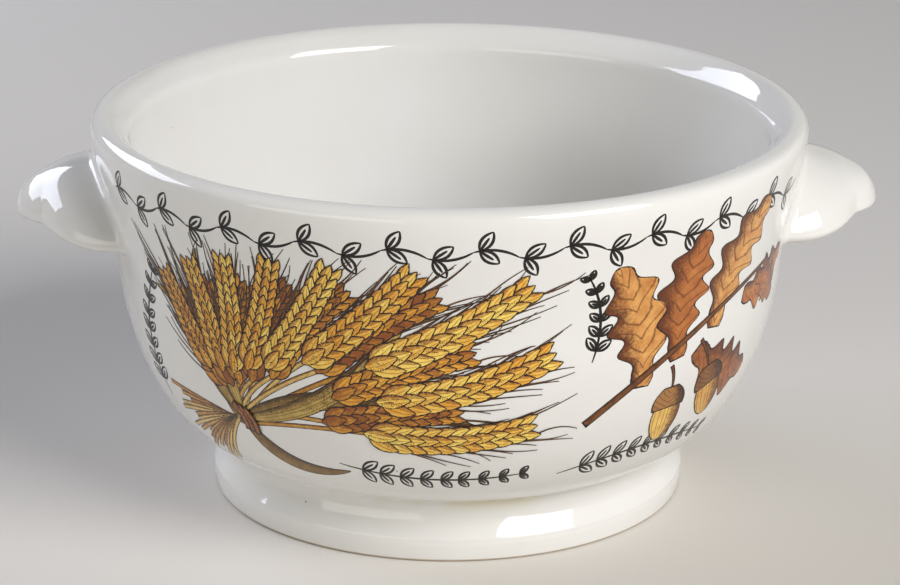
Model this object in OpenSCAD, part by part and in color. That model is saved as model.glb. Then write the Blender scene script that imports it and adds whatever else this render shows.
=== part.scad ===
// A footed porcelain soup crock with two drooping lug handles.
// Lengths are in millimetres. The crock stands on z = 0 and is turned about the Z axis,
// and the handles lie on the X axis.

/* [Bowl] */
// Outer radius of the rim at its widest
rim_r = 67.5; // [66:0.5:76]
// Height of the whole crock, from the table to the top of the lip
crock_h = 73.8; // [70:0.2:84]
// How far the rim stands out past the waist, where the belly ends and the flare begins
flare_out = 4.3; // [2:0.1:7]
// Height of the flare, from the waist up to the top of the lip
flare_h = 27.3; // [23:0.1:32]
// Thickness of the wall at the waist
wall_t = 4.6; // [3:0.1:6]
// Thickness of the floor over the foot ring's seat
floor_t = 4.9; // [4:0.1:8]
// Radius of the flat middle of the floor, inside
floor_r = 36; // [30:0.5:38]

/* [Lip] */
// Width of the lip, from its widest point to its inner edge
lip_w = 7.1; // [6.3:0.1:8]
// Drop from the top of the lip to its widest point
lip_drop = 2.2; // [1.5:0.1:3]
// Inward distance from the widest point to the top of the lip
lip_shoulder = 2.6; // [1.8:0.1:3.2]
// Drop from the top of the lip to its inner edge
lip_fall = 3.8; // [3:0.1:4.5]
// Radius that softens the lip's inner edge
lip_edge_r = 2.8; // [1.6:0.1:3.2]

/* [Foot ring] */
// Outer radius of the foot ring at its shoulder
foot_r = 45.4; // [43:0.2:50]
// How far the shoulder stands out past the neck, where the foot ring meets the bowl
shoulder_out = 2.4; // [1.6:0.1:4]
// Height of the seam between the foot ring and the bowl
seam_h = 11.3; // [9.5:0.1:13]
// Height of the upright band below the shoulder
band_h = 4.4; // [3:0.1:6]
// How far the band leans in, from the shoulder down to the tread
band_lean = 0.3; // [0:0.1:1.5]
// Width of the flat tread that the crock stands on
tread_w = 2.4; // [1.5:0.1:3]
// Width of the foot ring's seat under the bowl
seat_w = 4.6; // [3.5:0.1:6]
// Rounding of the shoulder and of the tread's edges
foot_edge_r = 0.6; // [0.4:0.1:1]
// Rise of the domed underside inside the foot ring
dome_rise = 0.9; // [0.2:0.1:1.6]

/* [Lug handles] */
// Distance that a handle stands out beyond the rim
lug_out = 14.3; // [11:0.1:20]
// Depth of the lobe's widest level below the top of the lip, at the wall
lug_drop = 16.3; // [14:0.1:19]
// Width of the lobe where it leaves the wall
lobe_w = 30.2; // [24:0.2:36]
// Rise of the lobe's domed top above its widest level
lobe_rise = 7.2; // [5:0.1:9]
// Depth of the lobe's underside below its widest level
lobe_sink = 2.4; // [1.6:0.1:5]
// Droop of the lobe from the wall to the tip
lobe_droop = 2.3; // [1:0.1:4]
// Distance from the lobe's tip back to the corbel's tip
corbel_back = 5; // [3:0.1:7]
// Depth of the corbel's widest level below the lobe's
corbel_low = 1.2; // [0.6:0.1:4]
// Width of the corbel where it leaves the wall
corbel_w = 37.6; // [30:0.2:44]
// Rise of the corbel above its widest level
corbel_rise = 7.6; // [5:0.1:9]
// Depth of the corbel's underside below its widest level
corbel_sink = 5.2; // [4:0.1:8]
// Drop of a handle's sides below its middle, at the lobe's full width
lug_crown = 1.9; // [0:0.1:4]
// Radius of the slip fillet where a handle is luted to the wall
lute_r = 1.6; // [1:0.1:2.4]

/* [Hidden] */

// The belly leaves the seam at a low slope, stands nearly upright at the waist, and the flare
// ends upright at the lip. Each guide line is a share of the width or height that its curve spans.
belly_rise_deg = 13;
belly_low_share = 0.584;
belly_high_share = 0.507;
waist_lean_share = 0.09;
flare_low_share = 0.331;
flare_high_share = 0.2;
inner_low_share = 0.664;
inner_high_share = 0.644;
inner_flare_share = 0.35;
dome_share = 0.54;
dome_foot_share = 0.976;
lip_top_share = 0.45;
// Guide lines of the lip's inner slope and of the foot's hollow slope
lip_slope_pull = 0.3;
lip_slope_deg = 48;
neck_pull = 3;
shoulder_pull = 2.6;
shoulder_deg = 58;
// The band swells by this much between the shoulder and the tread
band_swell = 0.15;
// Fullness of the lug's outlines: 2 is an ellipse, more is blunter
lobe_side_power = 5.7;
lobe_plan_power = 2;
lobe_droop_power = 1.7;
corbel_side_power = 2.7;
corbel_plan_power = 2.8;
// Sharpness of the notch between lobe and corbel, underneath and at the sides
notch_power = 7;
shoulder_power = 3.6;
// A lug narrows from this far inside the waist, and its root ends this far inside
lug_sink = 4;
lug_root = 5;
// The points around a lug lie as on an oval this many times as wide as it is high
lug_flatness = 2.2;
// The slip fillet's thin edge runs straight from this angle of its quarter round
lute_from = 30;
// Steps along a guide curve, around a lug, along its fillet and along the lug
curve_n = 16;
edge_n = 5;
lug_around_n = 60;
lute_n = 4;
lug_along_n = 18;
$fn = 180;

waist_r = rim_r - flare_out;
waist_h = crock_h - flare_h;
neck_r = foot_r - shoulder_out;
tread_r = foot_r - band_lean;
lip_wide_z = crock_h - lip_drop;
lip_top_r = rim_r - lip_shoulder;
lip_in_r = rim_r - lip_w;
lip_in_z = crock_h - lip_fall;
waist_in_r = waist_r - wall_t;
floor_z = seam_h + floor_t;
seat_in_r = neck_r - seat_w;
tread_in_r = tread_r - foot_edge_r - tread_w;
lug_reach = rim_r + lug_out;
lug_h = crock_h - lug_drop;
corbel_reach = lug_reach - corbel_back;

// A direction from an angle above the radius, and points on a cubic guide curve
function aim(deg) = [cos(deg), sin(deg)];
function cubic(a, b, c, d, t) =
    pow(1 - t, 3) * a + 3 * pow(1 - t, 2) * t * b + 3 * (1 - t) * t * t * c + pow(t, 3) * d;
function curve(a, b, c, d, n = curve_n) = [for (i = [0:n]) cubic(a, b, c, d, i / n)];
function arc(centre, rx, rz, from, to, n = edge_n) =
    [for (i = [0:n]) let (g = from + (to - from) * i / n) centre + [rx * cos(g), rz * sin(g)]];
// A curve without its first point, for joining to the one before it
function after(points) = [for (i = [1:len(points) - 1]) points[i]];

// Outer wall, from the seam up to the widest point of the rim
seam = [neck_r, seam_h];
waist = [waist_r, waist_h];
lip_wide = [rim_r, lip_wide_z];
waist_lean = [waist_lean_share, 1];
belly_line = curve(seam, seam + belly_low_share * (waist_r - neck_r) * aim(belly_rise_deg),
    waist - belly_high_share * (waist_h - seam_h) * waist_lean, waist);
flare_span = lip_wide_z - waist_h;
flare_line = curve(waist, waist + flare_low_share * flare_span * waist_lean,
    lip_wide - [0, flare_high_share * flare_span], lip_wide);
outer_line = concat(belly_line, after(flare_line));

// Lip: a quarter round outside, a soft slope down to the inner edge, and the softened edge
lip_round = arc([lip_top_r, lip_wide_z], lip_shoulder, lip_drop, 0, 90, 2 * edge_n);
slope_end = [lip_in_r, lip_in_z] + lip_edge_r * aim(lip_slope_deg);
edge_end = [lip_in_r, lip_in_z - lip_edge_r];
lip_slope = curve([lip_top_r, crock_h],
    [lip_top_r - lip_top_share * (lip_top_r - slope_end[0]), crock_h],
    slope_end + lip_slope_pull * aim(lip_slope_deg), slope_end, 2 * edge_n);
lip_edge = curve(slope_end, [lip_in_r, lip_in_z], [lip_in_r, lip_in_z], edge_end, 2 * edge_n);

// Inner wall, from the lip's edge down to the flat of the floor
waist_in = [waist_in_r, waist_h];
inner_flare_pull = inner_flare_share * (edge_end[1] - waist_h);
inner_line = concat(
    after(curve(edge_end, edge_end - [0, inner_flare_pull],
        waist_in + inner_flare_pull * waist_lean, waist_in)),
    after(curve(waist_in, waist_in - inner_high_share * (waist_h - floor_z) * waist_lean,
        [floor_r + inner_low_share * (waist_in_r - floor_r), floor_z], [floor_r, floor_z])));

// Underside: the flat seat of the foot ring, then a shallow dome
dome_line = after(curve([0, seam_h + dome_rise], [dome_share * seat_in_r, seam_h + dome_rise],
    [dome_foot_share * seat_in_r, seam_h], [seat_in_r, seam_h]));

// One thrown or jiggered body: belly, waist, flare, rolled lip and floor
module bowl() {
    color("ivory")
        rotate_extrude()
            polygon(concat(outer_line, after(lip_round), after(lip_slope), after(lip_edge),
                inner_line, [[0, floor_z], [0, seam_h + dome_rise]], dome_line));
}

// The solid that the bowl's outer wall bounds, which cuts the roots of the handles
module bowl_core() {
    rotate_extrude()
        polygon(concat(outer_line, [[0, lip_wide_z], [0, seam_h]]));
}

// The foot ring: a hollow slope from the neck to a crisp shoulder, an upright band, a flat
// tread, and an inner wall that leans in to the seat under the bowl
shoulder = [foot_r, band_h];
slope_foot = shoulder - foot_edge_r * aim(-shoulder_deg);
band_top = shoulder - [0, foot_edge_r];
band_foot = [tread_r, foot_edge_r];
foot_line = concat(
    curve(seam, seam - [0, neck_pull], slope_foot - shoulder_pull * aim(-shoulder_deg), slope_foot),
    after(curve(slope_foot, shoulder, shoulder, band_top, edge_n)),
    after(curve(band_top, band_top + [band_swell, -foot_edge_r],
        band_foot + [band_swell, foot_edge_r], band_foot, edge_n)),
    after(arc([tread_r - foot_edge_r, foot_edge_r], foot_edge_r, foot_edge_r, 0, -90)),
    arc([tread_in_r, foot_edge_r], foot_edge_r, foot_edge_r, -90, -180),
    after(curve([tread_in_r - foot_edge_r, foot_edge_r], [tread_in_r - foot_edge_r, band_h],
        [seat_in_r, band_h], [seat_in_r, seam_h])));

module foot_ring() {
    color("ivory")
        rotate_extrude()
            polygon(foot_line);
}

// Share of the way from a lug's root to a tip, and the half size left there: all at the root,
// none at the tip, which is always round
lug_narrows_x = waist_r - lug_sink;
function way(x, tip) = max((x - lug_narrows_x) / (tip - lug_narrows_x), 0);
function taper(s, power) = s >= 1 ? 0 : sqrt(1 - pow(s, power));
// Drop of the lobe's middle on the way to the tip
function lobe_drop(x) = lobe_droop * pow(way(x, lug_reach), lobe_droop_power);
// Reach of an oval at angle g, from a centre that lies up above the oval's own middle
function oval_reach(half_w, half_h, up, g) =
    half_w <= 0 || half_h <= 0 ? 0 :
    let (
        a = pow(cos(g) / half_w, 2) + pow(sin(g) / half_h, 2),
        b = up * sin(g) / pow(half_h, 2),
        c = pow(up / half_h, 2) - 1,
        q = b * b - a * c
    )
    q <= 0 ? 0 : max(0, (sqrt(q) - b) / a);
// Reach of an egg: one oval above its widest level and another below it
function egg_reach(half_w, rise, sink, up, g) =
    let (top = oval_reach(half_w, rise, up, g))
    top * sin(g) + up >= 0 ? top : oval_reach(half_w, sink, up, g);
// Reach of the whole section: the lobe and the corbel under it, with a blend that is short in the
// notch and long at the sides
function lug_section(x, g) =
    let (
        power = shoulder_power + (notch_power - shoulder_power) * pow(max(-sin(g), 0), 3),
        s = way(x, lug_reach),
        k = way(x, corbel_reach),
        lobe_side = taper(s, lobe_side_power),
        corbel_side = taper(k, corbel_side_power),
        lobe = egg_reach(lobe_w / 2 * taper(s, lobe_plan_power),
            lobe_rise * lobe_side, lobe_sink * lobe_side, 0, g),
        corbel = egg_reach(corbel_w / 2 * taper(k, corbel_plan_power),
            corbel_rise * corbel_side, corbel_sink * corbel_side, corbel_low - lobe_drop(x), g)
    )
    lobe * pow(1 + pow(corbel / lobe, power), 1 / power);
// One point of a lug's skin, lower at the sides: bulge is what the slip fillet adds there
function lug_point(x, g, bulge = 0) =
    let (section = lug_section(x, g), reach = section + bulge)
    [x, reach * cos(g), lug_h - lobe_drop(x) + reach * sin(g)
        - lug_crown * pow(section * cos(g) / (lobe_w / 2), 2)];
// Distance out to the bowl's outer wall, at the side and height of a point
wall_table = [for (p = outer_line) [p[1], p[0]]];
function wall_x(p) = sqrt(pow(lookup(p[2], wall_table), 2) - pow(p[1], 2));
// Where the skin at angle g has a gap from the wall, found in a few steps
function luted_x(gap, g, bulge, n = 6, x = waist_r) =
    n == 0 ? x : luted_x(gap, g, bulge, n - 1, wall_x(lug_point(x, g, bulge)) + gap);

// The skin's rings: just inside the wall, round the slip fillet, then closing up to the tip.
// Each row of the fillet is a gap from the wall and a bulge over the lug.
lute_in = lute_r / 2;
lute_first = lute_r * [1 - cos(lute_from), 1 - sin(lute_from)];
lute_rows = concat(
    [[-lute_in, lute_first[1] + (lute_first[0] + lute_in) / tan(lute_from)]],
    [for (i = [0:lute_n]) let (t = lute_from + (90 - lute_from) * i / lute_n)
        lute_r * [1 - cos(t), 1 - sin(t)]]);
lug_angles = [for (j = [0:lug_around_n - 1]) let (t = 360 * j / lug_around_n)
    atan2(sin(t), lug_flatness * cos(t))];
lug_skin = concat(
    [for (row = lute_rows) for (g = lug_angles) lug_point(luted_x(row[0], g, row[1]), g, row[1])],
    [for (i = [1:lug_along_n - 1]) for (g = lug_angles) let (from_x = luted_x(lute_r, g, 0))
        lug_point(from_x + (lug_reach - from_x) * sin(90 * i / lug_along_n), g)],
    [[lug_reach, 0, lug_h - lobe_droop], [waist_r - lug_root, 0, lug_h - corbel_low]]);
lug_last = len(lug_skin) - 2 - lug_around_n;
lug_faces = concat(
    [for (i = [0:lug_around_n:lug_last - 1]) for (j = [0:lug_around_n - 1])
        let (a = i + j, b = i + (j + 1) % lug_around_n)
        for (f = [[a, a + lug_around_n, b], [b, a + lug_around_n, b + lug_around_n]]) f],
    [for (j = [0:lug_around_n - 1]) let (k = (j + 1) % lug_around_n)
        for (f = [[lug_last + j, len(lug_skin) - 2, lug_last + k], [k, len(lug_skin) - 1, j]]) f]);

// A press-moulded lug: a drooping lobe on a corbel, cut at its root by the wall it is luted to
module lug() {
    difference() {
        polyhedron(lug_skin, lug_faces);
        bowl_core();
    }
}

module handle_left() {
    color("ivory")
        rotate([0, 0, 180])
            lug();
}

module handle_right() {
    color("ivory")
        lug();
}

bowl();
foot_ring();
handle_left();
handle_right();
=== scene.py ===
"""A footed porcelain soup crock with two lug handles: its glaze, its fired decal and its studio."""

import bpy
import numpy as np
from mathutils import Matrix


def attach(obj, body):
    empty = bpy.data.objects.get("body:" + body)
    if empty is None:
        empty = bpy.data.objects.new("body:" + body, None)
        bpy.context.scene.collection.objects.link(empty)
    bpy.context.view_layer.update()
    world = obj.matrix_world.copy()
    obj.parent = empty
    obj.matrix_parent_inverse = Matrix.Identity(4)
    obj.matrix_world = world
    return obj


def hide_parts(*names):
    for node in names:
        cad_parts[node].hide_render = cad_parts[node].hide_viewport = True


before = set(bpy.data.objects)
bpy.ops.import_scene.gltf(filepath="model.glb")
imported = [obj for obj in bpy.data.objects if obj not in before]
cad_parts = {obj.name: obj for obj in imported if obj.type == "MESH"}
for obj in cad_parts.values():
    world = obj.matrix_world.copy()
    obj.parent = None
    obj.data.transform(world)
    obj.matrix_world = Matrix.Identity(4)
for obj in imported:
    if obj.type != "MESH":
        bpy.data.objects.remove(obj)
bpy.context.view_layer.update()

# Bowl
# The turned body: a full belly, an upright flare, a rounded lip and a flat floor, in white
# porcelain. It is glazed all over, but for the ring underneath that the foot is luted to.
mm = 0.001
rim_r, crock_h = 67.5, 73.8
flare_out, flare_h = 4.3, 27.3
wall_t, floor_t, floor_r = 4.6, 4.9, 36.0
lip_w, lip_drop, lip_shoulder, lip_fall, lip_edge_r = 7.1, 2.2, 2.6, 3.8, 2.8
neck_r, seam_h, seat_w, dome_rise = 43.0, 11.3, 4.6, 0.9
belly_rise_deg, lip_slope_deg = 13, 48
waist_lean = np.array([0.09, 1.0])
# Pulls of the guide curves, as shares of the width or height that each curve spans
belly_low_share, belly_high_share, flare_low_share, flare_high_share = 0.584, 0.507, 0.331, 0.2
inner_low_share, inner_high_share, inner_flare_share = 0.664, 0.644, 0.35
lip_top_share, dome_share, dome_foot_share = 0.45, 0.54, 0.976
lip_slope_pull = 0.3
turned_around = 360


def at(r, z):
    """A point of a profile: radius and height in millimetres."""
    return np.array([r, z], float)


def aim(degrees):
    """A direction in a profile's plane, at an angle above the radius."""
    return at(np.cos(np.radians(degrees)), np.sin(np.radians(degrees)))


def guided(a, b, c, d, steps, ease=0.0):
    """Cubic guide curve from a to d, pulled by b and c; ease above 0 crowds its points at both ends."""
    t = np.linspace(0, 1, steps + 1)
    t = (t - ease * np.sin(2 * np.pi * t) / (2 * np.pi))[:, None]
    return (1 - t) ** 3 * a + 3 * (1 - t) ** 2 * t * b + 3 * (1 - t) * t * t * c + t ** 3 * d


def joined(*lines):
    """Lines put end to end, with each shared point once."""
    return np.concatenate([lines[0]] + [line[1:] for line in lines[1:]])


def skin(name, points, faces, sharp_deg=40):
    """Mesh object from points in millimetres and rows of corner numbers, smooth up to an angle."""
    mesh = bpy.data.meshes.new(name)
    mesh.from_pydata(points * mm, [], faces)
    mesh.validate()
    mesh.shade_smooth()
    mesh.set_sharp_from_angle(angle=np.radians(sharp_deg))
    piece = bpy.data.objects.new(name, mesh)
    bpy.context.collection.objects.link(piece)
    return piece


def grid_faces(rows, columns, closed_rows=False, closed_columns=False):
    """Corner numbers of the quads of a grid whose points run row by row."""
    i = np.arange(rows if closed_rows else rows - 1)[:, None]
    j = np.arange(columns if closed_columns else columns - 1)[None, :]
    a, b = i * columns + j, i * columns + (j + 1) % columns
    step = (i + 1) % rows * columns
    return np.stack([a, b, step + (j + 1) % columns, step + j], -1).reshape(-1, 4)


def turned(name, profile, around, loop=False):
    """Surface of revolution: point (i, j) is the profile's point i at angle 2 pi j / around.
    A loop profile closes on itself; another one starts and ends on the axis, in a pole."""
    g = 2 * np.pi * np.arange(around) / around
    body = profile if loop else profile[1:-1]
    ring = np.stack([np.outer(body[:, 0], np.cos(g)), np.outer(body[:, 0], np.sin(g)),
                     np.repeat(body[:, 1:], around, 1)], -1).reshape(-1, 3)
    faces = grid_faces(len(body), around, closed_rows=loop, closed_columns=True).tolist()
    if loop:
        return skin(name, ring, faces)
    j = np.arange(around)
    first, last = len(ring), len(ring) + 1
    low = np.stack([np.full(around, first), (j + 1) % around, j], -1)
    top = (len(body) - 1) * around
    high = np.stack([np.full(around, last), top + j, top + (j + 1) % around], -1)
    ends = [[0, 0, profile[0, 1]], [0, 0, profile[-1, 1]]]
    return skin(name, np.concatenate([ring, ends]), faces + low.tolist() + high.tolist())


seam = at(neck_r, seam_h)
waist = at(rim_r - flare_out, crock_h - flare_h)
lip_wide = at(rim_r, crock_h - lip_drop)
lip_top = at(rim_r - lip_shoulder, crock_h)
lip_in = at(rim_r - lip_w, crock_h - lip_fall)
slope_end = lip_in + lip_edge_r * aim(lip_slope_deg)
edge_end = lip_in - at(0, lip_edge_r)
waist_in = waist - at(wall_t, 0)
floor_z = seam_h + floor_t
flare_span = lip_wide[1] - waist[1]
belly_line = guided(seam, seam + belly_low_share * (waist[0] - neck_r) * aim(belly_rise_deg),
                    waist - belly_high_share * (waist[1] - seam_h) * waist_lean, waist, 60)
flare_line = guided(waist, waist + flare_low_share * flare_span * waist_lean,
                    lip_wide - at(0, flare_high_share * flare_span), lip_wide, 32)
outer_line = joined(belly_line, flare_line)
quarter = np.linspace(0, np.pi / 2, 15)
lip_line = joined(
    np.stack([lip_top[0] + lip_shoulder * np.cos(quarter),
              lip_wide[1] + lip_drop * np.sin(quarter)], -1),
    guided(lip_top, lip_top - at(lip_top_share * (lip_top[0] - slope_end[0]), 0),
           slope_end + lip_slope_pull * aim(lip_slope_deg), slope_end, 14),
    guided(slope_end, lip_in, lip_in, edge_end, 16))
inner_pull = inner_flare_share * (edge_end[1] - waist[1])
inner_line = joined(
    guided(edge_end, edge_end - at(0, inner_pull), waist_in + inner_pull * waist_lean, waist_in, 24),
    guided(waist_in, waist_in - inner_high_share * (waist[1] - floor_z) * waist_lean,
           at(floor_r + inner_low_share * (waist_in[0] - floor_r), floor_z), at(floor_r, floor_z), 56),
    np.stack([np.linspace(floor_r, 0, 7), np.full(7, floor_z)], -1))
seat_in = at(neck_r - seat_w, seam_h)
under_line = guided(at(0, seam_h + dome_rise), at(dome_share * seat_in[0], seam_h + dome_rise),
                    at(dome_foot_share * seat_in[0], seam_h), seat_in, 10)
bowl_body = turned("bowl_body", joined(
    under_line, np.array([seat_in, seam]), outer_line, lip_line, inner_line), turned_around)


def linear(hex_colour):
    """An sRGB hex colour such as E9E7E1 as the linear RGBA that Blender's sockets take."""
    c = np.array([int(hex_colour[i:i + 2], 16) for i in (0, 2, 4)]) / 255
    return (*np.where(c <= 0.04045, c / 12.92, ((c + 0.055) / 1.055) ** 2.4).tolist(), 1.0)


def empty_tree(owner):
    """The node tree of a material or a world, without the nodes that it starts with."""
    owner.use_nodes = True
    owner.node_tree.nodes.clear()
    return owner.node_tree


def add_node(tree, kind, feeds=None, **settings):
    """Adds a node: settings are its own properties, and feeds gives its inputs a value or a socket."""
    node = tree.nodes.new(kind)
    for name, value in settings.items():
        setattr(node, name, value)
    for key, value in (feeds or {}).items():
        if isinstance(value, bpy.types.NodeSocket):
            tree.links.new(value, node.inputs[key])
        else:
            node.inputs[key].default_value = value
    return node


def glazed_porcelain(name, wave_mm, bare_mm=-1.0):
    """White porcelain under a clear, slightly warm fired glaze, in clouds 14 mm wide, with waves of
    wave_mm in lengths of 9 mm, which make the sharp highlights waver. A few iron specks 0.3 mm wide
    fired through it, a straw-yellow stain crept out of the foot's seam in patches, and below bare_mm
    the glaze is wiped off: there it is dull and a darker grey-brown. The waves are drawn deeper than
    they are."""
    glaze = bpy.data.materials.new(name)
    tree = empty_tree(glaze)
    cloud_mm, speck_apart_mm, wave_long_mm, wiped_mm = 14, 14, 9, 0.15
    place = add_node(tree, "ShaderNodeTexCoord").outputs["Object"]
    height = add_node(tree, "ShaderNodeSeparateXYZ", {"Vector": place}).outputs["Z"]
    cloud = add_node(tree, "ShaderNodeTexNoise", {"Vector": place, "Scale": 1 / (cloud_mm * mm),
                                                  "Detail": 3.0})
    speck = add_node(tree, "ShaderNodeTexVoronoi", {"Vector": place, "Scale": 1 / (speck_apart_mm * mm)})
    iron = add_node(tree, "ShaderNodeMapRange", {
        "Value": speck.outputs["Distance"], "From Min": 0.15 / speck_apart_mm,
        "From Max": 0.22 / speck_apart_mm, "To Min": 0.8, "To Max": 0.0})
    above = add_node(tree, "ShaderNodeMath", {0: height, 1: seam_h * mm}, operation="SUBTRACT")
    from_seam = add_node(tree, "ShaderNodeMath", {0: above.outputs[0]}, operation="ABSOLUTE")
    near = add_node(tree, "ShaderNodeMapRange", {"Value": from_seam.outputs[0], "From Min": 0.3 * mm,
                                                 "From Max": 2.6 * mm, "To Min": 0.55, "To Max": 0.0})
    patch = add_node(tree, "ShaderNodeMapRange", {"Value": cloud.outputs["Fac"], "From Min": 0.48,
                                                  "From Max": 0.64})
    stain = add_node(tree, "ShaderNodeMath", {0: near.outputs[0], 1: patch.outputs[0]},
                     operation="MULTIPLY")
    # Below bare_mm, on the foot's bottom edge at the table contact, the glaze is wiped off: the surface
    # is dull and its colour is a darker grey-brown.
    bare = add_node(tree, "ShaderNodeMapRange", {"Value": height, "From Min": (bare_mm - wiped_mm) * mm,
                                                 "From Max": bare_mm * mm, "To Min": 1.0, "To Max": 0.0})
    tone = add_node(tree, "ShaderNodeMix", {"Factor": cloud.outputs["Fac"], "A": linear("E0DEDA"),
                                            "B": linear("E5E4E1")}, data_type="RGBA")
    for share, colour_on in ((stain, "D3C79C"), (bare, "B9AD99"), (iron, "4A3B30")):
        tone = add_node(tree, "ShaderNodeMix", {"Factor": share.outputs[0], "A": tone.outputs["Result"],
                                                "B": linear(colour_on)}, data_type="RGBA")
    dull = add_node(tree, "ShaderNodeMapRange", {"Value": bare.outputs[0], "To Min": 0.06,
                                                 "To Max": 0.75})
    wave = add_node(tree, "ShaderNodeTexNoise", {"Vector": place, "Scale": 1 / (wave_long_mm * mm),
                                                 "Detail": 1.0})
    bump = add_node(tree, "ShaderNodeBump", {"Height": wave.outputs["Fac"], "Strength": 1.0,
                                             "Distance": wave_mm * mm})
    body = add_node(tree, "ShaderNodeBsdfPrincipled", {
        "Base Color": tone.outputs["Result"], "Roughness": dull.outputs[0], "IOR": 1.52,
        "Normal": bump.outputs["Normal"]})
    add_node(tree, "ShaderNodeOutputMaterial", {"Surface": body.outputs["BSDF"]})
    return glaze


glaze = glazed_porcelain("glazed_porcelain", 0.027)
bowl_body.data.materials.append(glaze)
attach(bowl_body, "root")
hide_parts("bowl")

# Foot ring
# A turned ring luted under the bowl: a hollow slope, a crisp shoulder, an upright band and a
# flat tread. The glaze fills the corner under the belly, and the tread is wiped bare.
foot_r, band_h, band_swell, foot_edge_r = 45.4, 4.4, 0.15, 0.6
tread_r, tread_w = 45.1, 2.4
neck_pull, shoulder_pull, shoulder_deg = 3.0, 2.6, 58
glaze_fill, fill_pull, fill_gap = 1.2, 0.35, 0.04
shoulder = at(foot_r, band_h)
slope_foot = shoulder - foot_edge_r * aim(-shoulder_deg)
band_top, band_foot = shoulder - at(0, foot_edge_r), at(tread_r, foot_edge_r)
hollow_line = guided(seam, seam - at(0, neck_pull), slope_foot - shoulder_pull * aim(-shoulder_deg),
                     slope_foot, 40)
fill_top = seam + glaze_fill * aim(belly_rise_deg) + at(0, fill_gap)
fill_foot = int(np.argmax(seam_h - hollow_line[:, 1] > glaze_fill))
tread_in = tread_r - foot_edge_r - tread_w
foot_line = joined(
    np.array([seat_in, seam + at(0, fill_gap), fill_top]),
    guided(fill_top, seam + at(fill_pull, 0), seam + at(fill_gap, -fill_pull),
           hollow_line[fill_foot], 10),
    hollow_line[fill_foot:],
    guided(slope_foot, shoulder, shoulder, band_top, 8),
    guided(band_top, band_top + at(band_swell, -foot_edge_r), band_foot + at(band_swell, foot_edge_r),
           band_foot, 10),
    np.stack([tread_r - foot_edge_r + foot_edge_r * np.cos(quarter[::2]),
              foot_edge_r - foot_edge_r * np.sin(quarter[::2])], -1),
    np.array([at(tread_r - foot_edge_r, 0), at(tread_in, 0)]),
    np.stack([tread_in - foot_edge_r * np.sin(quarter[::2]),
              foot_edge_r - foot_edge_r * np.cos(quarter[::2])], -1),
    guided(at(tread_in - foot_edge_r, foot_edge_r), at(tread_in - foot_edge_r, band_h),
           at(seat_in[0], band_h), seat_in, 20))[:-1]
foot_piece = turned("foot_ring_turned", foot_line[::-1], turned_around, loop=True)
foot_piece.data.materials.append(glazed_porcelain("glazed_porcelain_foot", 0.08, 0.55))
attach(foot_piece, "root")
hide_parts("foot_ring")

# Lug handles
# Two press-moulded lugs, each a drooping lobe on a corbel, luted to the wall with slip while
# the clay is leather hard. The slip is wiped to a small fillet, and the glaze covers it.
lug_reach, lug_z, lug_crown = rim_r + 14.3, crock_h - 16.3, 1.9
lobe_w, lobe_rise, lobe_sink, lobe_droop = 30.2, 7.2, 2.4, 2.3
corbel_reach, corbel_low = lug_reach - 5.0, 1.2
corbel_w, corbel_rise, corbel_sink = 37.6, 7.6, 5.2
lute_r, notch_power, shoulder_power = 1.6, 7, 3.6
# Fullness of the lugs' outlines: 2 is an ellipse, and more is blunter
lobe_side_power, lobe_plan_power, lobe_droop_power = 5.7, 2, 1.7
corbel_side_power, corbel_plan_power = 2.7, 2.8
lug_root, lug_flatness = waist[0] - 4, 2.2


def share_out(x, tip):
    """Share of the way from a lug's root to a tip."""
    return np.maximum((x - lug_root) / (tip - lug_root), 0)


def taper(s, power):
    """Half size left at share s of the way: 1 at the root and 0 at the tip, which is always round."""
    return np.sqrt(1 - np.minimum(s, 1) ** power)


def oval_reach(half_w, half_t, up, g):
    """Reach at angle g of an upright oval, from a centre that lies up above the oval's middle."""
    w, t = np.maximum(half_w, 1e-6), np.maximum(half_t, 1e-6)
    a = (np.cos(g) / w) ** 2 + (np.sin(g) / t) ** 2
    b = up * np.sin(g) / t ** 2
    q = b * b - a * ((up / t) ** 2 - 1)
    return np.where(q > 0, np.maximum(np.sqrt(np.maximum(q, 0)) - b, 0) / a, 0)


def egg_reach(half_w, rise, sink, up, g):
    """Reach at angle g of an egg: one oval above its widest level and another one below it."""
    top = oval_reach(half_w, rise, up, g)
    return np.where(top * np.sin(g) + up >= 0, top, oval_reach(half_w, sink, up, g))


def lug_skin(x, g, bulge):
    """A lug's point at distance x and angle g: the lobe and the corbel under it are eggs about the
    lobe's drooping middle. They are joined by a power mean, sharper underneath than at the sides, the
    sides hang lower by the square of their distance, and bulge is what the slip adds."""
    s, k = share_out(x, lug_reach), share_out(x, corbel_reach)
    drop = lobe_droop * s ** lobe_droop_power
    lobe_side, corbel_side = taper(s, lobe_side_power), taper(k, corbel_side_power)
    lobe = egg_reach(lobe_w / 2 * taper(s, lobe_plan_power), lobe_rise * lobe_side,
                     lobe_sink * lobe_side, 0, g)
    corbel = egg_reach(corbel_w / 2 * taper(k, corbel_plan_power), corbel_rise * corbel_side,
                       corbel_sink * corbel_side, corbel_low - drop, g)
    power = shoulder_power + (notch_power - shoulder_power) * np.maximum(-np.sin(g), 0) ** 3
    section = lobe * (1 + (corbel / np.maximum(lobe, 1e-9)) ** power) ** (1 / power)
    reach = section + bulge
    hang = lug_crown * (section * np.cos(g) / (lobe_w / 2)) ** 2
    return np.stack([x, reach * np.cos(g), lug_z - drop + reach * np.sin(g) - hang], -1)


def wall_x(points):
    """Distance from the axis plane to the bowl's outer wall, at the side and height of each point."""
    r = np.interp(points[..., 2], outer_line[:, 1], outer_line[:, 0])
    return np.sqrt(np.maximum(r ** 2 - points[..., 1] ** 2, 1))


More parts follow.
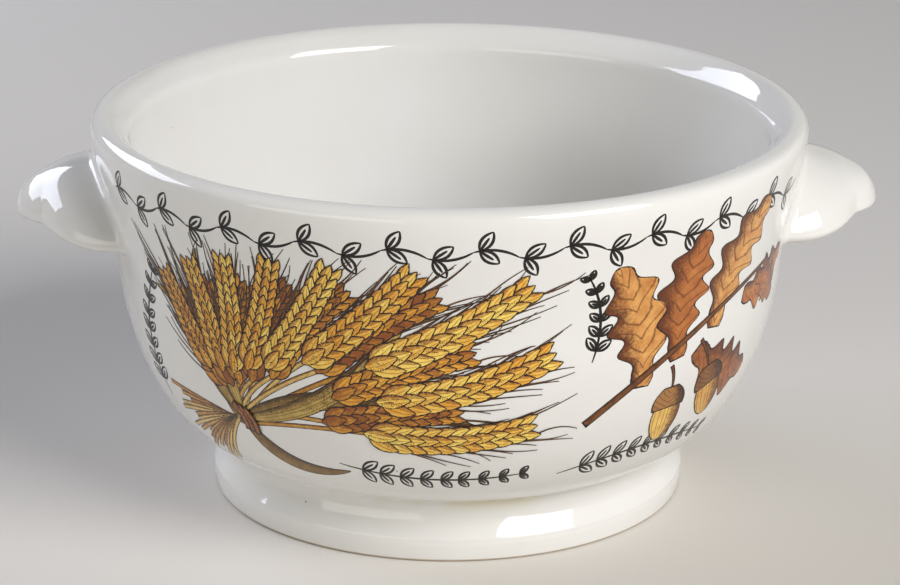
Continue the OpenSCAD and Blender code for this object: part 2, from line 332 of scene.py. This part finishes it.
def lug(name, side):
    """Surface of a lug: row i goes from inside the wall through the slip fillet to the tip, and
    column j round it. Rows of the fillet keep their own gap from the wall by fixed-point steps."""
    around, fillet_rows, rows, settling = 200, 12, 72, 12
    root_depth, pole_depth = 1.2, 2
    t = 2 * np.pi * np.arange(around) / around
    g = np.arctan2(np.sin(t), lug_flatness * np.cos(t))
    turn = np.linspace(0, np.pi / 2, fillet_rows)
    gap = np.concatenate([[-root_depth], lute_r * (1 - np.cos(turn))])[:, None] * np.ones(around)
    bulge = np.concatenate([[lute_r], lute_r * (1 - np.sin(turn))])[:, None] * np.ones(around)
    x = np.full(gap.shape, waist[0])
    for _ in range(settling):
        x = wall_x(lug_skin(x, g, bulge)) + gap
    near = lug_skin(x, g, bulge)
    share = np.sin(np.pi / 2 * np.linspace(0, 1, rows + 1)[1:-1])[:, None]
    far_x = x[-1] + (lug_reach - x[-1]) * share
    points = np.concatenate([near, lug_skin(far_x, g, np.zeros(far_x.shape))])
    count = len(points)
    points = points.reshape(-1, 3)
    ends = [[waist[0] - pole_depth, 0, lug_z - pole_depth], [lug_reach, 0, lug_z - lobe_droop]]
    j = np.arange(around)
    root = np.stack([np.full(around, len(points)), (j + 1) % around, j], -1)
    top = (count - 1) * around
    tip = np.stack([np.full(around, len(points) + 1), top + j, top + (j + 1) % around], -1)
    faces = grid_faces(count, around, closed_columns=True).tolist() + root.tolist() + tip.tolist()
    return skin(name, np.concatenate([points, ends]) * [side, side, 1], faces, 60)


for name, side, node in (("lug_left", -1, "handle_left"), ("lug_right", 1, "handle_right")):
    piece = lug(name, side)
    piece.data.materials.append(glaze)
    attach(piece, "root")
    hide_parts(node)

# Printed wheat
# A sheaf of ripe wheat in on-glaze ceramic colours, laid on the wall as a thin decal and fired:
# straws, blades, awns and ears of golden kernels with dark ink edges, as glossy as the glaze.
wall_way = np.concatenate([[0], np.cumsum(np.hypot(*np.diff(outer_line, axis=0).T))])
wall_run = np.gradient(outer_line, wall_way, axis=0)
wall_run /= np.linalg.norm(wall_run, axis=1, keepdims=True)
seeded = np.random.default_rng(7)


def on_wall(flat, proud):
    """Points over the bowl's outer wall. A flat point is the arc at the waist's radius, counted from
    the front to the right, and the way up the wall from the seam; proud is its height over the glaze."""
    p, q = flat[..., 0] / waist[0], flat[..., 1]
    r, z, lean, rise = (np.interp(q, wall_way, line) for line in (*outer_line.T, *wall_run.T))
    r, z = r + proud * rise, z - proud * lean
    return np.stack([r * np.sin(p), -r * np.cos(p), z], -1)


def unit(ways):
    """Directions of length 1."""
    return ways / np.linalg.norm(ways, axis=-1, keepdims=True)


def veered(ways, degrees):
    """Flat directions (..., 2), turned to their left."""
    c, s = np.cos(np.radians(degrees)), np.sin(np.radians(degrees))
    return np.stack([ways[..., 0] * c - ways[..., 1] * s, ways[..., 0] * s + ways[..., 1] * c], -1)


def bent(start, end, bow, steps):
    """Flat lines (K, steps, 2) between points (K, 2), each bowed to its left by bow millimetres."""
    t = np.linspace(0, 1, steps)[:, None]
    start, end = np.atleast_2d(start)[:, None], np.atleast_2d(end)[:, None]
    aside = veered(unit(end - start), 90) * np.reshape(bow, (-1, 1, 1))
    return start + (end - start) * t + aside * 4 * t * (1 - t)


def printed(name, lines, halves, across, colour, proud, lots=None, step=0.0002):
    """Decal of K strips on the wall: lines (K, R, 2) are their middles and halves (K, R) their half
    widths, with a row of across points over each width. They lie proud millimetres over the glaze,
    and each lies step over the one before, which ink needs not. Points keep their share along and
    across, the distance to the rim in millimetres, and the strip's own lot, pale or dark."""
    count, rows = halves.shape
    along, sides = np.linspace(0, 1, rows), np.linspace(1, -1, across)
    left = veered(unit(np.gradient(lines, axis=1)), 90)
    wide = halves[..., None] * sides
    height = (proud + step * np.arange(count))[:, None, None]
    points = on_wall(lines[:, :, None] + left[:, :, None] * wide[..., None], height)
    faces = grid_faces(rows, across)[None] + (np.arange(count) * rows * across)[:, None, None]
    piece = skin(name, points.reshape(-1, 3), faces.reshape(-1, 4).tolist())
    length = np.linalg.norm(np.diff(lines, axis=1), axis=-1).sum(1)
    end_gap = np.minimum(along, 1 - along) * length[:, None]
    rim = np.minimum(halves[..., None] - np.abs(wide), end_gap[..., None])
    lots = seeded.random(count) if lots is None else lots
    for key, value in (("along", along[:, None]), ("across", sides), ("rim", rim),
                       ("lot", lots[:, None, None])):
        layer = piece.data.attributes.new(key, "FLOAT", "POINT")
        layer.data.foreach_set("value", np.broadcast_to(value, wide.shape).astype(np.float32).ravel())
    piece.data.materials.append(colour)
    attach(piece, "root")


def ceramic_colour(name, pale, middle, dark, ink, ink_width, stripes, veins=0.0):
    """Fired ceramic colour in thin washes: pale to middle to dark in patches about 2 mm wide, darker
    toward one side and in fine lines, and with an inked rim of uneven width in millimetres."""
    colour = bpy.data.materials.new(name)
    tree = empty_tree(colour)
    patch_mm, grain_mm = 2, 0.5
    place = add_node(tree, "ShaderNodeTexCoord").outputs["Object"]
    rim, lot, across, along = (add_node(tree, "ShaderNodeAttribute", attribute_name=key).outputs["Fac"]
                               for key in ("rim", "lot", "across", "along"))
    patch = add_node(tree, "ShaderNodeTexNoise", {"Vector": place, "Scale": 1 / (patch_mm * mm),
                                                  "Detail": 3.0})
    grain = add_node(tree, "ShaderNodeTexNoise", {"Vector": place, "Scale": 1 / (grain_mm * mm),
                                                  "Detail": 1.0})
    depth = add_node(tree, "ShaderNodeMath", {0: patch.outputs["Fac"], 1: lot}, operation="ADD")
    wash = add_node(tree, "ShaderNodeMapRange", {"Value": depth.outputs[0], "From Min": 0.5,
                                                 "From Max": 1.25}, interpolation_type="SMOOTHSTEP")
    deep = add_node(tree, "ShaderNodeMapRange", {"Value": depth.outputs[0], "From Min": 1.15,
                                                 "From Max": 1.9}, interpolation_type="SMOOTHSTEP")
    wander = add_node(tree, "ShaderNodeMath", {0: grain.outputs["Fac"], 1: 0.7, 2: across},
                      operation="MULTIPLY_ADD")
    side = add_node(tree, "ShaderNodeMapRange", {"Value": wander.outputs[0], "From Min": 0.35,
                                                 "From Max": 1.25}, interpolation_type="SMOOTHSTEP")
    middle_line = add_node(tree, "ShaderNodeMath", {0: across}, operation="ABSOLUTE")
    slant = add_node(tree, "ShaderNodeMath", {0: middle_line.outputs[0], 1: stripes},
                     operation="MULTIPLY")
    order = add_node(tree, "ShaderNodeMath", {0: along, 1: veins, 2: slant.outputs[0]},
                     operation="MULTIPLY_ADD")
    rough = add_node(tree, "ShaderNodeMath", {0: grain.outputs["Fac"], 1: 0.5, 2: order.outputs[0]},
                     operation="MULTIPLY_ADD")
    saw = add_node(tree, "ShaderNodeMath", {0: rough.outputs[0], 1: 1.0}, operation="PINGPONG")
    line = add_node(tree, "ShaderNodeMapRange", {"Value": saw.outputs[0], "From Min": 0.74,
                                                 "From Max": 0.94, "To Max": 0.75})
    uneven = add_node(tree, "ShaderNodeMath", {0: grain.outputs["Fac"], 1: -ink_width, 2: rim},
                      operation="MULTIPLY_ADD")
    edge = add_node(tree, "ShaderNodeMapRange", {"Value": uneven.outputs[0], "From Min": 0.0,
                                                 "From Max": 0.12, "To Min": 1.0, "To Max": 0.0})
    tone = linear(pale)
    for share, colour_on in ((wash, middle), (deep, dark), (side, dark), (line, dark), (edge, ink)):
        mix = add_node(tree, "ShaderNodeMix", {"Factor": share.outputs[0], "A": tone,
                                               "B": linear(colour_on)}, data_type="RGBA")
        tone = mix.outputs["Result"]
    body = add_node(tree, "ShaderNodeBsdfPrincipled", {
        "Base Color": tone, "Roughness": 0.1, "IOR": 1.5})
    add_node(tree, "ShaderNodeOutputMaterial", {"Surface": body.outputs["BSDF"]})
    return colour


# The ears fan out of the tie, and the shorter ones lie behind: angle, distance to the foot, length.
# Awns that would end over print_top, or right of print_gap, aren't drawn.
tie = at(-46, 25)
ear_turn = np.array([3, 16, 29, 43, 57, 72, 88, 104, 121, 9, 22, 36, 50, 64, 80, 96, 112])
ear_from = np.array([27, 31, 32, 22, 15, 12, 10, 10, 11, 19, 23, 23, 14, 10, 8, 7, 7])
ear_long = np.array([30, 31, 31, 27, 25, 23, 22, 20, 18, 25, 26, 26, 24, 22, 20, 19, 17])
ear_shade = np.array(
    [0.1, 0.3, 0.15, 0.35, 0.1, 0.3, 0.2, 0.4, 0.6, 0.9, 0.7, 0.95, 0.8, 1, 0.8, 1, 0.9])
ears_n, stations, kernel_long, straw_half, cord_half = len(ear_turn), 12, 6.6, 0.55, 0.62
print_top, print_gap = 62, 21
ear_way = veered(at(1, 0), ear_turn)
ear_foot = tie + ear_way * ear_from[:, None]
ears = bent(ear_foot, ear_foot + ear_way * ear_long[:, None], np.linspace(-1.6, 2.2, ears_n), stations)
knot = tie + veered(ear_way, 90) * np.linspace(-1.4, 1.4, ears_n)[:, None]
cut_way = veered(at(1, 0), np.linspace(176, 236, ears_n))
cut = tie + cut_way * (19 + 3 * np.cos(8 * np.arange(ears_n)))[:, None]
straws = np.concatenate([bent(knot, ear_foot, 1, 60), bent(cut, knot, 0.6, 60)])
straw_colour = ceramic_colour(
    "wheat_straw_ceramic_colour", "E6C679", "C08A33", "7A4A1B", "2A1A10", 0.22, 2)
printed("wheat_straws", straws, np.full(straws.shape[:2], straw_half), 5, straw_colour, 0.02)
blade_end = tie + np.array([[50, 2], [37, 30], [-5, 33], [-20, 22], [22, -9]])
blades = bent(np.tile(tie, (5, 1)), blade_end, [7, -6, 5, -6, -5], 90)
blade_half = 0.1 + 1.9 * np.sin(np.pi * np.linspace(0, 1, 90) ** 0.8) ** 0.7 + np.zeros((5, 1))
blade_colour = ceramic_colour(
    "wheat_blade_ceramic_colour", "C2A356", "8C6A2C", "4B3416", "22170D", 0.25, 4)
printed("wheat_blades", blades, blade_half, 9, blade_colour, 0.03)

# At each station of an ear two kernels lean out and one lies over the middle, from the tip down
way = unit(np.diff(ears, axis=1))[::-1, ::-1, None]
fuller = (ear_long[::-1] / 30).clip(0.78, 1)
size = np.outer(fuller, np.linspace(0.8, 1, stations - 1))[..., None, None]
leaning = np.stack([veered(way, turn) for turn in (24, -24, 0)], 2)[:, :, :, 0]
kernel_foot = ears[::-1, -2::-1, None] + leaning * [[[[0.3], [0.3], [-0.8]]]] * size
kernel_tip = kernel_foot + leaning * kernel_long * size
kernels = bent(kernel_foot.reshape(-1, 2), kernel_tip.reshape(-1, 2),
               np.tile([0.45, -0.45, 0], ears_n * (stations - 1)), 16)
kernel_half = (size * 1.5 + np.zeros((1, 1, 3, 1))).reshape(-1, 1) * (
    np.sin(np.pi * np.linspace(0, 1, 16) ** 0.85).clip(0) ** 0.8) + 0.05
kernel_shade = np.repeat(ear_shade[::-1], 3 * (stations - 1)) + 0.5 * seeded.random(len(kernels)) - 0.1
awn_foot = kernel_tip[:, :, :2].reshape(-1, 2)
awn_way = unit(leaning[:, :, :2] * 0.5 + way * 0.5).reshape(-1, 2)
awn_end = awn_foot + awn_way * (7 + 5 * seeded.random(len(awn_foot)))[:, None]
kept = (awn_end[:, 1] < print_top) & (awn_end[:, 0] < print_gap)
awns = bent((awn_foot - awn_way)[kept], awn_end[kept], seeded.normal(0, 0.5, kept.sum()), 24)
awn_half = 0.2 - 0.13 * np.linspace(0, 1, 24) + np.zeros((len(awns), 1))
awn_colour = ceramic_colour(
    "wheat_awn_ceramic_colour", "8A5A22", "5B3A1A", "3A2412", "2A1A10", 0.05, 1)
printed("wheat_awns", awns, awn_half, 3, awn_colour, 0.04)
kernel_colour = ceramic_colour(
    "wheat_kernel_ceramic_colour", "F3D468", "DE9E33", "87481A", "21140D", 0.42, 2.5)
printed("wheat_kernels", kernels, kernel_half, 9, kernel_colour, 0.06, kernel_shade)
cord = bent(tie + np.array([[-1.6, 3.2], [-0.4, 2.8], [0.9, 2.4]]),
            tie + np.array([[0.6, -2.6], [1.7, -2.9], [2.9, -3.2]]), [0.8, 0.8, 0.8], 16)
cord_colour = ceramic_colour(
    "tie_cord_ceramic_colour", "A5622B", "7E4420", "44240F", "1E120B", 0.3, 1, 9)
printed("wheat_tie", cord, np.full((3, 16), cord_half), 5, cord_colour, 0.3)

# Printed oak spray
# Copper-brown oak leaves and acorns on a twig, in the same fired ceramic colours as the wheat.
leaf_foot = np.array([[33, 33], [41, 37], [50, 41], [59, 45], [46, 38], [64, 47]])
leaf_tip = np.array([[25, 58], [44, 62], [62, 64], [76, 50], [66, 29], [74, 40]])
leaves = bent(leaf_foot, leaf_tip, [-2.2, 2, 2.4, -2, -2.4, 1.5], 110)
share = np.linspace(0, 1, 110)
lobed = 0.78 + 0.22 * np.sin(9 * np.pi * share - 0.6)
leaf_half = 0.35 + np.array([[6.4], [6.2], [6.2], [5.4], [6.2], [4]]) * (
    np.sin(np.pi * share.clip(0.1) ** 1.15).clip(0) ** 0.7 * lobed)
leaf_colour = ceramic_colour(
    "oak_leaf_ceramic_colour", "DDA45C", "B0682F", "5E2F16", "21140D", 0.5, -3, 18)
leaf_shade = np.array([0.3, 0.75, 0.25, 0.6, 0.95, 0.8])
printed("oak_leaves", leaves, leaf_half, 15, leaf_colour, 0.03, leaf_shade)
twig = bent(np.array([[22, 27], [40, 36], [47, 39.5]]), np.array([[68, 50], [41, 30], [51, 32]]),
            [3, 0.5, 0.5], 60)
twig_half = np.array([[0.75], [0.4], [0.4]]) * (1.2 - 0.6 * np.linspace(0, 1, 60))
twig_colour = ceramic_colour(
    "oak_twig_ceramic_colour", "9A6230", "70421F", "3A2110", "1E120B", 0.3, 1, 20)
printed("oak_twig", twig, twig_half, 5, twig_colour, 0.05)
cup_foot = np.array([[41, 31.5], [51, 33.5]])
nut_way = unit(np.array([[0.05, -1], [0.3, -1]]))
nuts = bent(cup_foot + nut_way * 1.5, cup_foot + nut_way * 12.5, 0, 30)
nut_half = 0.1 + 3.6 * np.sin(np.pi * np.linspace(0.12, 1, 30) ** 1.1).clip(0) ** 0.5 + np.zeros((2, 1))
nut_colour = ceramic_colour("acorn_ceramic_colour", "EBC368", "BF7F31", "6E3D18", "21140D", 0.4, 6)
printed("acorn_nuts", nuts, nut_half, 11, nut_colour, 0.07, np.array([0.2, 0.45]))
cups = bent(cup_foot, cup_foot + nut_way * 4.8, 0, 20)
cup_half = 4.2 * np.sin(np.linspace(0.25, 2.0, 20)) ** 0.6 + np.zeros((2, 1))
cup_colour = ceramic_colour(
    "acorn_cup_ceramic_colour", "A8753F", "7C4E26", "40240F", "1E120B", 0.4, 5, 9)
printed("acorn_cups", cups, cup_half, 11, cup_colour, 0.09)

# Printed ink sprigs
# Leafy sprigs and a vine in near-black ceramic ink, drawn with a pen 0.2 to 0.6 mm wide.


def sprig(start, end, bow, pairs, leaf):
    """Pen strokes of a sprig, rows of start, end and bow: a stem, and pairs of leaves of two bowed
    outlines and a midrib, which are leaf millimetres long at the foot and shrink toward the tip."""
    last = 64
    stem = bent(start, end, bow, last + 1)[0]
    k = np.linspace(8, last - 2, pairs).astype(int)
    way = unit(stem[k + 1] - stem[k - 1])
    strokes = [[*start, *end, bow]]
    for turn in (48, -48):
        reach = veered(way, turn) * (leaf * (1 - 0.45 * k / last))[:, None]
        for size, bulge in ((1, 0.22), (1, -0.22), (0.7, 0)):
            tips = stem[k] + reach * size
            bows = bulge * np.linalg.norm(reach, axis=1)
            strokes += np.column_stack([stem[k], tips, bows]).tolist()
    return strokes


strokes = sprig(at(-26, 18), at(12, 16.5), -2, 9, 4.6)
strokes += sprig(at(19, 15), at(58, 17), 2.5, 10, 4.6)
strokes += sprig(at(-71, 22), at(-66, 50), 3, 8, 4.4)
strokes += sprig(at(22, 40), at(20, 57), -2, 6, 3.6)
vine_reach, vine_high, vine_swing = 75, 62.9, 0.6
joints = np.column_stack([np.linspace(-vine_reach, vine_reach, 21),
                          vine_high + vine_swing * (-1.0) ** np.arange(21)])
for start, end, side in zip(joints[:-1], joints[1:], np.tile([1, -1], 10)):
    strokes += sprig(start, end, 0.9 * side, 1, 4.4)
strokes = np.array(strokes)
pen = bent(strokes[:, :2], strokes[:, 2:4], strokes[:, 4], 32)
pen_half = 0.1 + 0.18 * np.sin(np.pi * np.linspace(0, 1, 32)).clip(0) ** 0.6 + np.zeros((len(pen), 1))
ink_colour = ceramic_colour("black_ceramic_ink", "241D19", "1A1512", "120E0C", "16110E", 0.1, 1)
printed("ink_sprigs", pen, pen_half, 3, ink_colour, 0.012, step=0)

# Table and studio
# A pale seamless paper sweep, a large soft box at the right, a wide one behind at the left and a
# weak fill in front. The paper goes on in the world, low behind the crock, where the glaze shows it.
sweep_r, sweep_t = 2600, 4
sweep = turned("sweep", np.array([at(0, -sweep_t), at(sweep_r, -sweep_t), at(sweep_r, 0), at(0, 0)]), 96)
paper = bpy.data.materials.new("matt_background_paper")
tree = empty_tree(paper)
matt = add_node(tree, "ShaderNodeBsdfPrincipled", {
    "Base Color": linear("DBD7D1"), "Roughness": 0.9, "Specular IOR Level": 0.2})
add_node(tree, "ShaderNodeOutputMaterial", {"Surface": matt.outputs["BSDF"]})
sweep.data.materials.append(paper)

world = bpy.data.worlds.new("studio")
bpy.context.scene.world = world
tree = empty_tree(world)
way = add_node(tree, "ShaderNodeTexCoord").outputs["Generated"]
split = add_node(tree, "ShaderNodeSeparateXYZ", {"Vector": way})
behind = add_node(tree, "ShaderNodeMapRange", {
    "Value": split.outputs["Y"], "From Min": 0.0, "From Max": 0.5})
low = add_node(tree, "ShaderNodeMapRange", {
    "Value": split.outputs["Z"], "From Min": 0.5, "From Max": 0.25})
paper_there = add_node(tree, "ShaderNodeMath", {0: behind.outputs[0], 1: low.outputs[0]},
                       operation="MULTIPLY")
ray = add_node(tree, "ShaderNodeLightPath")
mirrored = add_node(tree, "ShaderNodeMath", {
    0: paper_there.outputs[0], 1: ray.outputs["Is Glossy Ray"]}, operation="MULTIPLY")
shown = add_node(tree, "ShaderNodeMath", {
    0: mirrored.outputs[0], 1: ray.outputs["Is Camera Ray"]}, operation="MAXIMUM")
dim = add_node(tree, "ShaderNodeBackground", {"Color": linear("BFBDBB"), "Strength": 0.08})
pale = add_node(tree, "ShaderNodeBackground", {"Color": linear("C4C1BD"), "Strength": 1.0})
seen = add_node(tree, "ShaderNodeMixShader", {
    0: shown.outputs[0], 1: dim.outputs[0], 2: pale.outputs[0]})
add_node(tree, "ShaderNodeOutputWorld", {"Surface": seen.outputs[0]})


def looking(place, target, roll=0.0):
    """Matrix at place whose -Z axis looks at target, with its right side turned up by roll radians."""
    back = np.array(place, float) - target
    back /= np.linalg.norm(back)
    right = np.cross([0, 0, 1], back)
    right /= np.linalg.norm(right)
    up = np.cross(back, right)
    turned_right = right * np.cos(roll) + up * np.sin(roll)
    turned_up = up * np.cos(roll) - right * np.sin(roll)
    axes = np.stack([turned_right, turned_up, back], 1)
    return Matrix.Translation(place) @ Matrix(axes.tolist()).to_4x4()


lit_middle = [0, 0, 0.04]


def soft_box(name, azimuth, elevation, away, width, height, watts, colour):
    """Area lamp that faces the crock, from an azimuth counted from the front to the right."""
    a, e = np.radians(azimuth), np.radians(elevation)
    place = away * np.array([np.sin(a) * np.cos(e), -np.cos(a) * np.cos(e), np.sin(e)])
    lamp = bpy.data.lights.new(name, "AREA")
    lamp.shape, lamp.size, lamp.size_y = "RECTANGLE", width, height
    lamp.energy, lamp.color = watts, linear(colour)[:3]
    box = bpy.data.objects.new(name, lamp)
    box.matrix_world = looking(place, lit_middle)
    bpy.context.collection.objects.link(box)


soft_box("key_box", 43, 34, 1.1, 0.64, 0.6, 11.8, "FFFEFD")
soft_box("left_box", -127, 30, 1.15, 1.0, 0.4, 8.7, "EAEFFF")
soft_box("front_fill", -42, 12, 1.2, 1.1, 0.45, 3.3, "FFFEF6")

# Camera
# The photograph's own view: a long lens, 19 degrees above the table and 4 degrees to the left.
camera_azimuth, camera_elevation, camera_roll = np.radians([-3.6, 18.703, 0.308])
camera_away, aside, aim_h = 626.5 * mm, 0.248 * mm, 36.756 * mm
target = np.array([aside * np.cos(camera_azimuth), aside * np.sin(camera_azimuth), aim_h])
eye = target + camera_away * np.array([
    np.sin(camera_azimuth) * np.cos(camera_elevation),
    -np.cos(camera_azimuth) * np.cos(camera_elevation), np.sin(camera_elevation)])
lens = bpy.data.cameras.new("camera")
lens.sensor_fit, lens.sensor_width, lens.lens = "HORIZONTAL", 36, 130.365
lens.clip_start, lens.clip_end = 0.02, 20
camera = bpy.data.objects.new("camera", lens)
camera.matrix_world = looking(eye, target, camera_roll)
bpy.context.collection.objects.link(camera)
bpy.context.scene.camera = camera
bpy.context.scene.view_settings.view_transform = "Standard"
